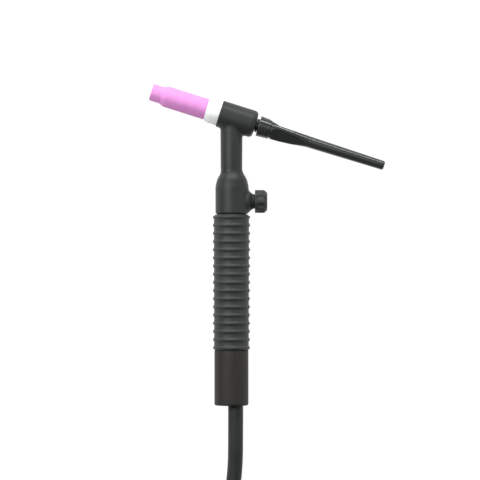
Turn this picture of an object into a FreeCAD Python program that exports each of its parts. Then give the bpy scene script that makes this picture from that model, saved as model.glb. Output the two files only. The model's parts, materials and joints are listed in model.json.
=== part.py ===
import FreeCAD, Part
import math
import os

os.makedirs("parts", exist_ok=True)
V = FreeCAD.Vector

# The torch lies on its side. X runs from the nozzle side to the back cap side, Y runs along
# the handle towards the head, Z is up from the surface. Working dimensions are measured
# from the crossing of the head axis and the handle axis. All lengths are in millimetres.
HEAD_TILT = 17.6            # head axis above the X direction, in degrees

# Head axis, distances towards the nozzle
NOZZLE_TIP = 69.7
NOZZLE_BASE = 21.85
NOZZLE_TIP_R = 7.1
NOZZLE_BODY_R = 8.8
NOZZLE_BORE_R = 4.9
NOZZLE_THREAD_R = 6.35
GASKET_FRONT = 21.8
GASKET_R = 10.3
HEAD_FRONT = 10.2
HEAD_REAR = -20.9
HEAD_R = 11.35
HEAD_TUBE_R = 7.4
CAP_BORE_R = 5.85           # rear bore of the head tube, taken by the cap thread
GAS_CHAMBER_R = 4.0
COLLET_BODY_THREAD_R = 4.75
COLLET_R = 1.95
COLLET_REAR = -11.45
ELECTRODE_R = 1.2           # 2.4 mm tungsten
ELECTRODE_LENGTH = 175.0
ELECTRODE_RECESS = 3.0      # tip behind the nozzle's face

# Back cap, distances behind the crossing
CAP_COLLAR = 23.6
CAP_END = 133.0
CAP_FACE_R = 2.2
CAP_THREAD_R = 5.8
CAP_INNER_R = 2.0
CAP_FLATS = 3
CAP_RING_R = 4.85           # middle of the O-ring
CAP_RING_SECTION_R = 0.97

# Handle axis, distances down from the crossing
NECK_R = 8.9
NECK_FILLET_R = 2.0         # where the neck leaves the barrel
SHOULDER_TOP = 44.5
HOUSING_R = 13.8
HOUSING_OFFSET = 0.5        # housing stands a little towards the valve
HOUSING_END = 80.4
SPIGOT_R = 11.4
SPIGOT_END = 95.0
VALVE_LEVEL = 69.8
BLOCK_TOP = 56.0
BLOCK_END = 86.0
BLOCK_R = 10.0
NECK_TUBE_R = 4.75
TAIL_TUBE_R = 5.0
TAIL_TUBE_END = 150.0
INLET_NUT_FLATS = 14.0
INLET_NUT_START = 142.0
INLET_NUT_END = 158.0
INLET_FERRULE_START = 160.0
INLET_FERRULE_LENGTH = 18.0
GRIP_TOP = 80.6
FIRST_RIB = 82.7
RIB_PITCH = 6.78
RIB_COUNT = 17
RIB_CREST_R = 15.4
RIB_VALLEY_R = 14.4
RIB_HALF_WIDTH = 1.6        # from a rib's crest to the plain tube beside it
GRIP_END = 193.3
GRIP_BORE_R = 10.6
GRIP_TAIL_R = 12.6          # rear spigot that the sleeve pushes on to
GRIP_TAIL_END = 203.3
SLEEVE_R = 14.15
SLEEVE_END = 239.1
SLEEVE_BORE_R = 11.6
SLEEVE_MOUTH_R = 10.2

# Gas valve, distances out from the handle axis
BOSS_R = 9.4
BOSS_NECK_R = 6.15
BOSS_END = 19.3
KNOB_NEAR = 19.5
KNOB_FAR = 29.7
KNOB_R = 9.5
KNOB_FLUTES = 8
FLUTE_R = 3.2
FLUTE_CENTRE_R = 11.5
FLUTE_START = 21.3          # the flutes stop short of both ends of the knob
FLUTE_END = 27.0
STEM_R = 3.0
STEM_BORE_R = 3.05
GLAND_R = 5.0

# Power cable: a gas hose with the welding conductor inside
CABLE_R = 6.25
HOSE_BORE_R = 2.6
FERRULE_R = 7.6
NIPPLE_NECK_R = 3.6
NIPPLE_BORE_R = 1.5
CABLE_SIDE = 3.5            # leaves the mouth beside the handle axis
COIL_CENTRE = (75.0, -405.0)
COIL_OUTER_R = 100.0
COIL_INNER_R = 47.0
TOP_OUTER_R = 95.0          # third layer
TOP_INNER_R = 75.0
TOP_LAYER_START = 20.0      # the third layer covers this much of the ring, in degrees
TOP_LAYER_SWEEP = 226.0
TIE_THICK = 1.2
TIE_WIDTH = 12.0
TIE_ANGLES = (55.0, 175.0, 232.0)
END_ANGLE = 304.0           # where the end fitting leaves the last turn
END_TURN_R = 79.5
END_HEIGHT = 38.2
END_FERRULE_LENGTH = 24.0
END_NUT_FLATS = 20.0
END_NUT_START = 27.5        # distances from the end of the last turn
END_NUT_END = 47.5
END_THREAD_R = 7.94         # 5/8 inch thread

# The part's origin is on the surface, under the middle of the torch's own box.
tilt = math.radians(HEAD_TILT)
left = -NOZZLE_TIP * math.cos(tilt) - NOZZLE_TIP_R * math.sin(tilt)
right = CAP_END * math.cos(tilt) + CAP_FACE_R * math.sin(tilt)
top = NOZZLE_TIP * math.sin(tilt) + NOZZLE_TIP_R * math.cos(tilt)
CROSSING = V(-(left + right) / 2, -(top - SLEEVE_END) / 2, RIB_CREST_R)

toward_nozzle = V(-math.cos(tilt), math.sin(tilt), 0)
above_head = V(math.sin(tilt), math.cos(tilt), 0)
down_handle = V(0, -1, 0)
X_AXIS = V(1, 0, 0)
Y_AXIS = V(0, 1, 0)
Z_AXIS = V(0, 0, 1)


def set_up(origin, along, side):
    """Placement whose local Z is `along` and whose local X is `side`."""
    return FreeCAD.Placement(origin, FreeCAD.Rotation(side, V(), along, "ZXY"))


HEAD = set_up(CROSSING, toward_nozzle, above_head)
HANDLE = set_up(CROSSING, down_handle, X_AXIS)
HOUSING = set_up(CROSSING + X_AXIS * HOUSING_OFFSET, down_handle, X_AXIS)
VALVE = set_up(CROSSING + down_handle * VALVE_LEVEL, X_AXIS, Y_AXIS)

nodes = {}


def placed(shape, place):
    moved = shape.copy()
    moved.Placement = place.multiply(shape.Placement)
    return moved


def turned(outline, place):
    """Solid of revolution. A corner is (along, radius); an arc is (along, radius) of a
    point on the way, followed by those of its end."""
    first = V(outline[0][1], 0, outline[0][0])
    here = first
    edges = []
    for step in outline[1:] + [outline[0]]:
        there = V(step[-1], 0, step[-2])
        if len(step) == 4:
            edges.append(Part.Arc(here, V(step[1], 0, step[0]), there).toShape())
        elif here.distanceToPoint(there) > 1e-6:
            edges.append(Part.LineSegment(here, there).toShape())
        here = there
    face = Part.Face(Part.Wire(edges))
    return placed(face.revolve(V(0, 0, 0), Z_AXIS, 360), place)


def rod(radius, start, end, place, x=0.0, y=0.0):
    """Cylinder along the local Z of `place`."""
    return placed(Part.makeCylinder(radius, end - start, V(x, y, start), Z_AXIS), place)


def cross_rod(radius, reach, along, angle, place):
    """Cylinder that leaves the local Z axis square to it, at `angle` round it."""
    turn = math.radians(angle)
    way = V(math.cos(turn), math.sin(turn), 0)
    return placed(Part.makeCylinder(radius, reach, V(0, 0, along), way), place)


def hexagon(flats, start, end, place):
    """Hexagonal bar of a given width across its flats."""
    corner_r = flats / math.sqrt(3)
    corners = [V(corner_r * math.cos(math.radians(60 * k)),
                 corner_r * math.sin(math.radians(60 * k)), start) for k in range(7)]
    bar = Part.Face(Part.makePolygon(corners)).extrude(V(0, 0, end - start))
    return placed(bar, place)


def ring(centre_r, section_r, along, place):
    """O-ring round the local Z axis."""
    return placed(Part.makeTorus(centre_r, section_r, V(0, 0, along), Z_AXIS), place)


def keep(name, shape):
    """Write one node. Booleans leave compounds, so its solids are taken out first."""
    solids = shape.Solids
    whole = solids[0] if len(solids) == 1 else Part.makeCompound(solids)
    nodes[name] = whole
    whole.exportStep("parts/" + name + ".step")


def bend_path(points):
    """Straight runs joined by tangent arcs, as wide as the two runs at each point allow.
    Returns the wire and its radii."""
    edges = []
    radii = []
    here = points[0]
    for before, corner, after in zip(points, points[1:], points[2:]):
        come = (corner - before).normalize()
        go = (after - corner).normalize()
        half_turn = come.getAngle(go) / 2
        reach = 0.45 * min((corner - before).Length, (after - corner).Length)
        radius = reach / math.tan(half_turn)
        start = corner - come * reach
        end = corner + go * reach
        inward = (go - come).normalize()
        centre = corner + inward * (radius / math.cos(half_turn))
        edges.append(Part.LineSegment(here, start).toShape())
        edges.append(Part.Arc(start, centre - inward * radius, end).toShape())
        radii.append(radius)
        here = end
    edges.append(Part.LineSegment(here, points[-1]).toShape())
    return Part.Wire(edges), radii


def cable_along(name, points):
    """Round cable swept along a route; its bend radii and its volume are printed."""
    path, radii = bend_path(points)
    start_way = (points[1] - points[0]).normalize()
    section = Part.Wire(Part.Circle(points[0], start_way, CABLE_R).toShape())
    solid = path.makePipeShell([section], True, False)
    expected = math.pi * CABLE_R ** 2 * path.Length
    print(name, "radii", [round(r) for r in radii], "length", round(path.Length, 1),
          "volume / expected", round(solid.Volume / expected, 4), solid.isValid())
    return solid


# ---- Nozzle: alumina gas cup, screwed on to the collet body ----
def nozzle():
    return turned([
        (NOZZLE_TIP, NOZZLE_BORE_R),
        (NOZZLE_TIP, NOZZLE_TIP_R - 0.5),
        (NOZZLE_TIP - 0.15, NOZZLE_TIP_R - 0.15, NOZZLE_TIP - 0.5, NOZZLE_TIP_R),
        (61.4, NOZZLE_TIP_R + 0.05),
        (60.0, 7.4, 58.6, 7.9),
        (57.2, 8.5, 55.6, NOZZLE_BODY_R),
        (NOZZLE_BASE + 0.5, NOZZLE_BODY_R),
        (NOZZLE_BASE, NOZZLE_BODY_R - 0.5),
        (NOZZLE_BASE, NOZZLE_THREAD_R + 0.45),
        (NOZZLE_BASE + 0.45, NOZZLE_THREAD_R),
        (46.0, NOZZLE_THREAD_R),
        (52.0, NOZZLE_BORE_R),
    ], HEAD)


# ---- Cup gasket: white PTFE ring between the head and the nozzle ----
def cup_gasket():
    return turned([
        (HEAD_FRONT, 5.9),
        (HEAD_FRONT, GASKET_R),
        (16.4, GASKET_R),
        (20.2, 9.7, GASKET_FRONT, 8.45),
        (GASKET_FRONT, 5.9),
    ], HEAD)


# ---- Collet body: brass, screwed into the head; its nose has four gas ports ----
def collet_body():
    outline = [(3.0, 2.9), (3.0, COLLET_BODY_THREAD_R), (HEAD_FRONT, COLLET_BODY_THREAD_R),
               (HEAD_FRONT, 5.85), (22.5, 5.85)]
    thread_pitch = 1.25
    for k in range(9):
        start = 22.6 + thread_pitch * k
        outline += [(start, 5.85), (start + 0.45, 6.3), (start + 0.75, 6.3), (start + 1.2, 5.85)]
    outline += [(34.5, 4.3), (47.0, 4.3), (51.0, 3.0), (51.0, 1.45), (48.0, 1.45), (44.0, 2.9)]
    body = turned(outline, HEAD)
    ports = [cross_rod(0.9, 6.0, 40.0, 45 + 90 * k, HEAD) for k in range(4)]
    return body.cut(ports)


# ---- Collet: copper sleeve whose slit end grips the electrode ----
def collet():
    sleeve = turned([
        (COLLET_REAR, 1.24), (COLLET_REAR, 3.0), (-9.0, 3.0), (-8.4, COLLET_R),
        (46.5, COLLET_R), (47.9, 1.45), (47.9, 1.24),
    ], HEAD)
    slit = Part.makeBox(0.4, 6.0, 20.0, V(-0.2, -3.0, 30.0))
    other_slit = Part.makeBox(6.0, 0.4, 20.0, V(-3.0, -0.2, 30.0))
    return sleeve.cut([placed(slit, HEAD), placed(other_slit, HEAD)])


# ---- Electrode: tungsten rod, ground to a point ----
def tungsten_electrode():
    tip = NOZZLE_TIP - ELECTRODE_RECESS
    return turned([
        (tip, 0.0), (tip, 0.15), (tip - 5.0, ELECTRODE_R),
        (tip - ELECTRODE_LENGTH, ELECTRODE_R), (tip - ELECTRODE_LENGTH, 0.0),
    ], HEAD)


# ---- Brass core of the head: a tube along the head axis ----
head_core = rod(HEAD_TUBE_R, HEAD_REAR, HEAD_FRONT, HEAD)
neck_core = rod(NECK_TUBE_R, 6.0, BLOCK_TOP + 4.0, HANDLE)


def head_tube():
    bore = turned([
        (HEAD_REAR, 0.0), (HEAD_REAR, CAP_BORE_R + 0.6), (HEAD_REAR + 0.6, CAP_BORE_R),
        (-10.9, CAP_BORE_R), (-10.9, GAS_CHAMBER_R), (3.0, GAS_CHAMBER_R),
        (3.0, COLLET_BODY_THREAD_R), (HEAD_FRONT, COLLET_BODY_THREAD_R), (HEAD_FRONT, 0.0),
    ], HEAD)
    gas_way = rod(3.0, 0.0, 12.0, HANDLE)
    return head_core.cut([bore, neck_core, gas_way])


# ---- Neck tube: copper tube brazed into the head tube and the valve block ----
def neck_tube():
    return neck_core.cut(rod(3.0, 0.0, BLOCK_TOP + 5.0, HANDLE))


# ---- Valve block: brass, with the seat on the valve axis ----
block_core = rod(BLOCK_R, BLOCK_TOP, BLOCK_END, HANDLE)
tail_core = rod(TAIL_TUBE_R, BLOCK_END - 6.0, TAIL_TUBE_END, HANDLE)
gland_core = rod(GLAND_R, 6.0, 17.0, VALVE)


def valve_block():
    seat_hole = rod(1.5, -4.0, 0.0, VALVE)
    chamber = rod(STEM_BORE_R, 0.0, 7.0, VALVE)
    outlet = rod(1.2, BLOCK_TOP + 3.0, VALVE_LEVEL, HANDLE, x=-2.0)
    inlet = rod(1.2, VALVE_LEVEL, BLOCK_END - 5.0, HANDLE, x=2.0)
    return block_core.cut([neck_core, tail_core, gland_core, seat_hole, chamber, outlet, inlet])


# ---- Torch body: black rubber moulded over the head tube, neck and valve block ----
def torch_body():
    barrel = turned([
        (HEAD_REAR, 0.0), (HEAD_REAR, HEAD_R - 3.7),
        (HEAD_REAR + 1.08, HEAD_R - 1.08, HEAD_REAR + 3.7, HEAD_R),
        (HEAD_FRONT - 0.3, HEAD_R), (HEAD_FRONT, HEAD_R - 0.3), (HEAD_FRONT, 0.0),
    ], HEAD)
    neck = turned([
        (0.0, 0.0), (0.0, NECK_R + 0.3), (SHOULDER_TOP + 10.0, NECK_R),
        (SHOULDER_TOP + 10.0, 0.0),
    ], HANDLE)
    shoulder_r = 8.6
    housing = turned([
        (SHOULDER_TOP - 2.0, 0.0), (SHOULDER_TOP - 2.0, shoulder_r - 0.1),
        (SHOULDER_TOP, shoulder_r),
        (SHOULDER_TOP + 4.2, 10.3, SHOULDER_TOP + 7.5, 12.0),
        (SHOULDER_TOP + 10.5, 13.3, SHOULDER_TOP + 14.0, HOUSING_R),
        (HOUSING_END - 2.0, HOUSING_R),
        (HOUSING_END - 0.6, HOUSING_R - 0.6, HOUSING_END, HOUSING_R - 2.0),
        (HOUSING_END, 0.0),
    ], HOUSING)
    boss = turned([
        (0.0, 0.0), (0.0, BOSS_R), (13.9, BOSS_R), (14.6, BOSS_R - 0.4),
        (17.4, BOSS_NECK_R + 0.35), (17.9, BOSS_NECK_R + 0.07, 18.5, BOSS_NECK_R),
        (BOSS_END, BOSS_NECK_R), (BOSS_END, 0.0),
    ], VALVE)
    spigot = rod(SPIGOT_R, HOUSING_END - 5.0, SPIGOT_END, HANDLE)
    outer = barrel.fuse([neck, housing, boss, spigot]).removeSplitter()
    under_barrel = [edge for edge in outer.Edges if edge.Length > 2 * NECK_R
                    and -20.0 < edge.BoundBox.YMax - CROSSING.y < -5.0]
    outer = outer.makeFillet(NECK_FILLET_R, under_barrel)
    stem_way = rod(GLAND_R, 5.0, BOSS_END + 1.0, VALVE)
    return outer.cut([head_core, neck_core, block_core, tail_core, stem_way])


# ---- Valve gland: brass bush that guides and holds the stem ----
def valve_gland():
    return gland_core.cut(rod(STEM_BORE_R, 0.0, 20.0, VALVE))


# ---- Valve stem: needle, thread, O-ring groove and the drive for the knob ----
def valve_stem():
    stem = turned([
        (-0.9, 0.0), (-0.9, 0.95), (0.9, 2.0), (4.0, 2.0), (4.4, STEM_R), (12.4, STEM_R),
        (12.4, 2.0), (13.7, 2.0), (13.7, STEM_R), (20.0, STEM_R), (20.0, 2.4), (24.4, 2.4),
        (24.4, 1.25), (16.0, 1.25), (16.0, 0.0),
    ], VALVE)
    drive_flat = placed(Part.makeBox(2.0, 8.0, 4.4, V(1.8, -4.0, 20.0)), VALVE)
    return stem.cut(drive_flat)


# ---- Valve knob: fluted black plastic, pushed on the stem and held by a screw ----
def valve_knob():
    knob = turned([
        (KNOB_NEAR, 3.1), (KNOB_NEAR, KNOB_R - 0.4), (KNOB_NEAR + 0.4, KNOB_R),
        (KNOB_FAR - 2.4, KNOB_R), (KNOB_FAR, KNOB_R - 2.2), (KNOB_FAR, 3.3),
        (27.0, 3.3), (27.0, 1.5), (24.45, 1.5), (24.45, 2.4), (20.0, 2.4), (20.0, 3.1),
    ], VALVE)
    flutes = []
    for k in range(KNOB_FLUTES):
        turn = math.radians(360 / KNOB_FLUTES * (k + 0.5))
        flutes.append(rod(FLUTE_R, FLUTE_START, FLUTE_END, VALVE,
                          x=FLUTE_CENTRE_R * math.cos(turn), y=FLUTE_CENTRE_R * math.sin(turn)))
    drive_key = placed(Part.makeBox(0.6, 3.2, 4.4, V(1.8, -1.6, 20.0)), VALVE)
    return knob.cut(flutes).fuse(drive_key)


# ---- Knob screw: slotted pan head ----
def knob_screw():
    screw = turned([
        (17.0, 0.0), (17.0, 1.25), (27.0, 1.25), (27.0, 3.0), (28.2, 3.0),
        (28.95, 2.3, 29.2, 1.0), (29.2, 0.0),
    ], VALVE)
    slot = placed(Part.makeBox(0.8, 8.0, 1.2, V(-0.4, -4.0, 28.2)), VALVE)
    return screw.cut(slot)


# ---- Back cap: long closed tube over the electrode's rear end, with three finger flats ----
def back_cap():
    thread = [(-11.5, CAP_INNER_R + 0.8), (-11.5, CAP_THREAD_R - 0.5)]
    for k in range(7):
        start = -12.0 - 1.25 * k
        thread += [(start, CAP_THREAD_R), (start - 0.4, CAP_THREAD_R),
                   (start - 0.8, CAP_THREAD_R - 0.4)]
    groove_r = CAP_RING_R - CAP_RING_SECTION_R - 0.03
    outline = thread + [
        (-20.9, CAP_THREAD_R), (-21.35, CAP_THREAD_R), (-21.35, groove_r),
        (-CAP_COLLAR, groove_r), (-CAP_COLLAR, 8.45), (-CAP_COLLAR - 0.2, 8.65),
        (-30.5, 8.15), (-33.6, 8.0), (-34.0, 7.1), (-35.3, 7.1), (-35.7, 7.75),
        (-43.6, 7.35), (-52.0, 6.65, -61.2, 5.5), (-64.0, 4.9), (-67.6, 4.75),
        (-96.6, 4.36), (-130.6, 3.88), (-132.6, 3.3, -CAP_END, CAP_FACE_R), (-CAP_END, 0.0),
        (-129.0, 0.0), (-129.0, CAP_INNER_R), (-12.3, CAP_INNER_R),
    ]
    cap = turned(outline, HEAD)
    side_view = [V(8.0, 0, -31.3), V(5.1, 0, -40.5), V(4.8, 0, -63.6), V(14.0, 0, -66.0),
                 V(14.0, 0, -31.3), V(8.0, 0, -31.3)]
    wedge = Part.Face(Part.makePolygon(side_view)).extrude(V(0, 30.0, 0))
    wedge.translate(V(0, -15.0, 0))
    cutters = []
    for k in range(CAP_FLATS):
        cutter = wedge.copy()
        cutter.rotate(V(0, 0, 0), Z_AXIS, 360 / CAP_FLATS * k)
        cutters.append(placed(cutter, HEAD))
    return cap.cut(cutters)


# ---- Ribbed grip: rubber tube with rounded ribs, pushed over the body's spigot ----
def ribbed_grip():
    outline = [(GRIP_TOP, SPIGOT_R), (GRIP_TOP, 13.9), (81.1, 14.7)]
    for k in range(RIB_COUNT):
        crest = FIRST_RIB + RIB_PITCH * k
        if k == 0:
            outline.append((crest - 0.55, RIB_CREST_R - 0.15))
        outline.append((crest, RIB_CREST_R, crest + 0.55, RIB_CREST_R - 0.15))
        if k < RIB_COUNT - 1:
            outline.append((crest + RIB_HALF_WIDTH, RIB_VALLEY_R))
            outline.append((crest + RIB_PITCH - RIB_HALF_WIDTH, RIB_VALLEY_R))
            outline.append((crest + RIB_PITCH - 0.55, RIB_CREST_R - 0.15))
    outline += [(GRIP_END - 0.5, 14.3), (GRIP_END, 13.9), (GRIP_END, GRIP_TAIL_R),
                (GRIP_TAIL_END, GRIP_TAIL_R), (GRIP_TAIL_END, GRIP_BORE_R),
                (SPIGOT_END, GRIP_BORE_R), (SPIGOT_END, SPIGOT_R)]
    return turned(outline, HANDLE)


# ---- Rear sleeve: smooth plastic cover over the cable joint, with a turned-in mouth ----
def rear_sleeve():
    round_r = 3.9
    near = round_r * (1 - math.cos(math.pi / 4))
    return turned([
        (GRIP_END, GRIP_TAIL_R), (GRIP_END, SLEEVE_R - 0.3), (GRIP_END + 0.3, SLEEVE_R),
        (SLEEVE_END - round_r, SLEEVE_R),
        (SLEEVE_END - near, SLEEVE_R - near, SLEEVE_END, SLEEVE_R - round_r),
        (SLEEVE_END - 0.3, SLEEVE_MOUTH_R), (SLEEVE_END - 2.6, SLEEVE_MOUTH_R),
        (SLEEVE_END - 4.6, SLEEVE_BORE_R), (GRIP_TAIL_END, SLEEVE_BORE_R),
        (GRIP_TAIL_END, GRIP_TAIL_R),
    ], HANDLE)


# ---- Cable joint inside the grip: tail tube, union nut, nipple and crimped ferrule ----
def tail_tube():
    return tail_core.cut(rod(3.2, BLOCK_END - 7.0, TAIL_TUBE_END + 1.0, HANDLE))


def inlet_nut():
    bar = hexagon(INLET_NUT_FLATS, INLET_NUT_START, INLET_NUT_END, HANDLE)
    bore = rod(TAIL_TUBE_R, INLET_NUT_START - 1.0, INLET_NUT_END - 4.0, HANDLE)
    neck_hole = rod(NIPPLE_NECK_R + 0.1, INLET_NUT_END - 5.0, INLET_NUT_END + 1.0, HANDLE)
    return bar.cut([bore, neck_hole])


def inlet_nipple():
    """Brass nipple: collar under the nut, neck, and a stem in the hose."""
    return turned([
        (150.0, NIPPLE_BORE_R), (150.0, 4.9), (153.9, 4.9), (153.9, NIPPLE_NECK_R),
        (161.9, NIPPLE_NECK_R), (161.9, HOSE_BORE_R), (178.0, HOSE_BORE_R),
        (178.0, NIPPLE_BORE_R),
    ], HANDLE)


def crimp_ferrule(length, place):
    """Crimped sleeve over the hose, with two rolled grooves and a turned-in end."""
    outline = [(0.0, NIPPLE_NECK_R), (0.0, FERRULE_R - 0.5), (0.5, FERRULE_R)]
    for groove in (0.3 * length, 0.6 * length):
        outline += [(groove, FERRULE_R), (groove + 1.2, FERRULE_R - 0.55, groove + 2.4, FERRULE_R)]
    outline += [(length - 0.5, FERRULE_R), (length, FERRULE_R - 0.4), (length, CABLE_R),
                (2.0, CABLE_R), (2.0, NIPPLE_NECK_R)]
    return turned(outline, place)


def inlet_ferrule():
    start = CROSSING + down_handle * INLET_FERRULE_START
    return crimp_ferrule(INLET_FERRULE_LENGTH, set_up(start, down_handle, X_AXIS))


# ---- Power cable, from the ferrule to the sleeve's mouth ----
def from_crossing(x, y, z):
    return CROSSING + V(x, y, z - RIB_CREST_R)


def cable_in_handle():
    route = [from_crossing(0, -162, RIB_CREST_R), from_crossing(0, -192, RIB_CREST_R),
             from_crossing(CABLE_SIDE, -218, RIB_CREST_R),
             from_crossing(CABLE_SIDE, -SLEEVE_END, RIB_CREST_R)]
    cable = cable_along("cable_in_handle", route)
    return cable.cut(rod(HOSE_BORE_R, 160.0, 178.0, HANDLE))


# ---- Power cable, free: from the mouth down to the surface and into the coil ----
def power_cable():
    coil_level = TIE_THICK + CABLE_R
    route = [from_crossing(CABLE_SIDE, -SLEEVE_END, RIB_CREST_R),
             from_crossing(CABLE_SIDE, -261, RIB_CREST_R),
             from_crossing(3.2, -294, 7.9),
             from_crossing(-1.5, -325, 6.6),
             from_crossing(-8.6, -351.1, 6.9),
             from_crossing(-16.15, -371.8, coil_level)]
    return cable_along("power_cable", route)


# ---- Coil: outer shape of two full layers of turns and most of a third ----
coil_place = set_up(from_crossing(COIL_CENTRE[0], COIL_CENTRE[1], 0), Z_AXIS, X_AXIS)
layer = 2 * CABLE_R
second_top = TIE_THICK + 2 * layer
third_top = TIE_THICK + 3 * layer


def coil_outline(gap):
    """Section of the two full layers, `gap` outside the turns."""
    low = TIE_THICK - gap
    outer = COIL_OUTER_R + gap
    inner = COIL_INNER_R - gap
    corner = 3.0
    return [
        (low, inner + corner), (low, outer - corner),
        (low + 0.3 * corner, outer - 0.3 * corner, low + corner, outer),
        (low + layer, outer), (second_top, TOP_OUTER_R + gap + 1.0),
        (second_top + gap, TOP_OUTER_R + gap), (second_top + gap, inner + 4.0),
        (second_top, inner + 1.5), (low + layer, inner), (low + corner, inner),
        (low + 0.3 * corner, inner + 0.3 * corner, low, inner + corner),
    ]


def top_outline(gap):
    """Section of the third layer, which lies on the second."""
    high = third_top + gap
    return [
        (second_top, TOP_INNER_R - gap), (second_top, TOP_OUTER_R + gap),
        (high - 4.0, TOP_OUTER_R + gap), (high, TOP_OUTER_R - 4.0), (high, TOP_INNER_R + 4.0),
        (high - 4.0, TOP_INNER_R - gap),
    ]


def power_cable_coil():
    top_ring = turned(top_outline(0.0), coil_place)
    base = turned(coil_outline(0.0), coil_place)
    middle = TOP_LAYER_START + TOP_LAYER_SWEEP / 2
    bare = Part.makeCylinder(COIL_OUTER_R + 10, 40.0, V(0, 0, second_top), Z_AXIS,
                             360.0 - TOP_LAYER_SWEEP)
    bare.rotate(V(0, 0, 0), Z_AXIS, middle + TOP_LAYER_SWEEP / 2)
    return base.fuse(top_ring.cut(placed(bare, coil_place))).removeSplitter()


def coil_tie(angle):
    """Strap round the whole bundle of turns."""
    outside = turned(coil_outline(TIE_THICK), coil_place).fuse(
        turned(top_outline(TIE_THICK), coil_place))
    inside = turned(coil_outline(0.0), coil_place).fuse(turned(top_outline(0.0), coil_place))
    slab = Part.makeBox(COIL_OUTER_R + 20, TIE_WIDTH, 80.0, V(0, -TIE_WIDTH / 2, -20.0))
    slab.rotate(V(0, 0, 0), Z_AXIS, angle)
    return outside.cut(inside).common(placed(slab, coil_place)).removeSplitter()


# ---- Far end of the cable: it climbs on to the turns and ends in a union nut ----
end_turn = math.radians(END_ANGLE)
end_start = coil_place.multVec(V(END_TURN_R * math.cos(end_turn),
                                 END_TURN_R * math.sin(end_turn), END_HEIGHT))
end_way = V(-math.sin(end_turn), math.cos(end_turn), 0)
END = set_up(end_start, end_way, Z_AXIS)


def power_cable_end():
    route = []
    for degrees_back, radius, height in ((57, 81.5, 32.5), (38, 80.9, 33.2), (18, 80.2, 36.6)):
        turn = math.radians(END_ANGLE - degrees_back)
        route.append(coil_place.multVec(V(radius * math.cos(turn), radius * math.sin(turn), height)))
    route.append(end_start)
    route.append(end_start + end_way * 22.0)
    cable = cable_along("power_cable_end", route)
    return cable.cut(rod(HOSE_BORE_R, 3.0, 23.0, END))


def end_nut():
    bar = hexagon(END_NUT_FLATS, END_NUT_START, END_NUT_END, END)
    bore = turned([
        (27.0, 0.0), (27.0, 3.65), (30.0, 3.65), (30.0, 7.3), (34.4, 7.3), (34.4, END_THREAD_R),
        (46.9, END_THREAD_R), (47.5, END_THREAD_R + 0.6), (47.5, 0.0),
    ], END)
    chamfer = turned([
        (26.0, 12.0), (26.0, 9.4), (27.5, 9.9), (29.0, 11.6), (46.0, 11.6), (47.5, 9.9),
        (49.0, 9.4), (49.0, 12.0),
    ], END)
    return bar.cut([bore, chamfer])


def end_nipple():
    """Nipple whose coned head the nut draws up."""
    return turned([
        (3.0, NIPPLE_BORE_R), (3.0, HOSE_BORE_R), (22.1, HOSE_BORE_R), (22.1, NIPPLE_NECK_R),
        (30.2, NIPPLE_NECK_R), (30.2, 7.2), (31.7, 7.2), (34.2, 4.2), (34.2, NIPPLE_BORE_R),
    ], END)


def end_ferrule():
    turned_round = FreeCAD.Placement(V(0, 0, END_FERRULE_LENGTH), FreeCAD.Rotation(X_AXIS, 180))
    return crimp_ferrule(END_FERRULE_LENGTH, END.multiply(turned_round))


keep("nozzle", nozzle())
keep("cup_gasket", cup_gasket())
keep("collet_body", collet_body())
keep("collet", collet())
keep("tungsten_electrode", tungsten_electrode())
keep("head_tube", head_tube())
keep("neck_tube", neck_tube())
keep("valve_block", valve_block())
keep("torch_body", torch_body())
keep("valve_gland", valve_gland())
keep("valve_stem", valve_stem())
keep("stem_o_ring", ring(2.53, 0.49, 13.05, VALVE))
keep("valve_knob", valve_knob())
keep("knob_screw", knob_screw())
keep("back_cap", back_cap())
keep("cap_o_ring", ring(CAP_RING_R, CAP_RING_SECTION_R, -22.47, HEAD))
keep("ribbed_grip", ribbed_grip())
keep("rear_sleeve", rear_sleeve())
keep("tail_tube", tail_tube())
keep("inlet_nut", inlet_nut())
keep("inlet_nipple", inlet_nipple())
keep("inlet_ferrule", inlet_ferrule())
keep("cable_in_handle", cable_in_handle())
keep("power_cable", power_cable())
keep("power_cable_coil", power_cable_coil())
keep("power_cable_end", power_cable_end())
for number, angle in enumerate(TIE_ANGLES, start=1):
    keep("coil_tie_" + str(number), coil_tie(angle))
keep("end_ferrule", end_ferrule())
keep("end_nipple", end_nipple())
keep("end_nut", end_nut())

for name, shape in nodes.items():
    print(name, "solids", len(shape.Solids), "valid", shape.isValid(), "mm3", round(shape.Volume))
print("crossing", CROSSING, "far end", end_start, end_way)
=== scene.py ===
import json
import math
import bmesh
import bpy
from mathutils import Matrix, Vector


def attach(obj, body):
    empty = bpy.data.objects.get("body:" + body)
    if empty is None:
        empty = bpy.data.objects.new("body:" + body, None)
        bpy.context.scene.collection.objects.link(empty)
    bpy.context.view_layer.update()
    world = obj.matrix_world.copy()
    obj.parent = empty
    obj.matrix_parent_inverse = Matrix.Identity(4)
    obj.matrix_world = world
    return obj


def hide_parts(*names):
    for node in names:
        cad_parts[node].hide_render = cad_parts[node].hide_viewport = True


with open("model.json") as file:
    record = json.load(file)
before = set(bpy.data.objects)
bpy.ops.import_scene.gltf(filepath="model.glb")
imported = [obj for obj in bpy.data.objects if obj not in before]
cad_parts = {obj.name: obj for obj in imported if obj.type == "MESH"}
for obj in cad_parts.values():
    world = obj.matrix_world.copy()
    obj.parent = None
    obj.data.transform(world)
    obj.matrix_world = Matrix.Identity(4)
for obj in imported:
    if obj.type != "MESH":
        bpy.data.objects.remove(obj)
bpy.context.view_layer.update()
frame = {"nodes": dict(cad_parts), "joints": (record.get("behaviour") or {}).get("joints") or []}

# ---- Studio ----
# A pale table under four soft boxes: a strip beyond the head, one overhead, one at each
# side. The camera looks straight down on the side of the torch through a long lens.
MM = 0.001
joints = {joint["name"]: joint for joint in frame["joints"]}
crossing = Vector(joints["cap_turn"]["pos_m"])      # where the head axis meets the handle's
Z_WAY = Vector((0, 0, 1))

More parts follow.
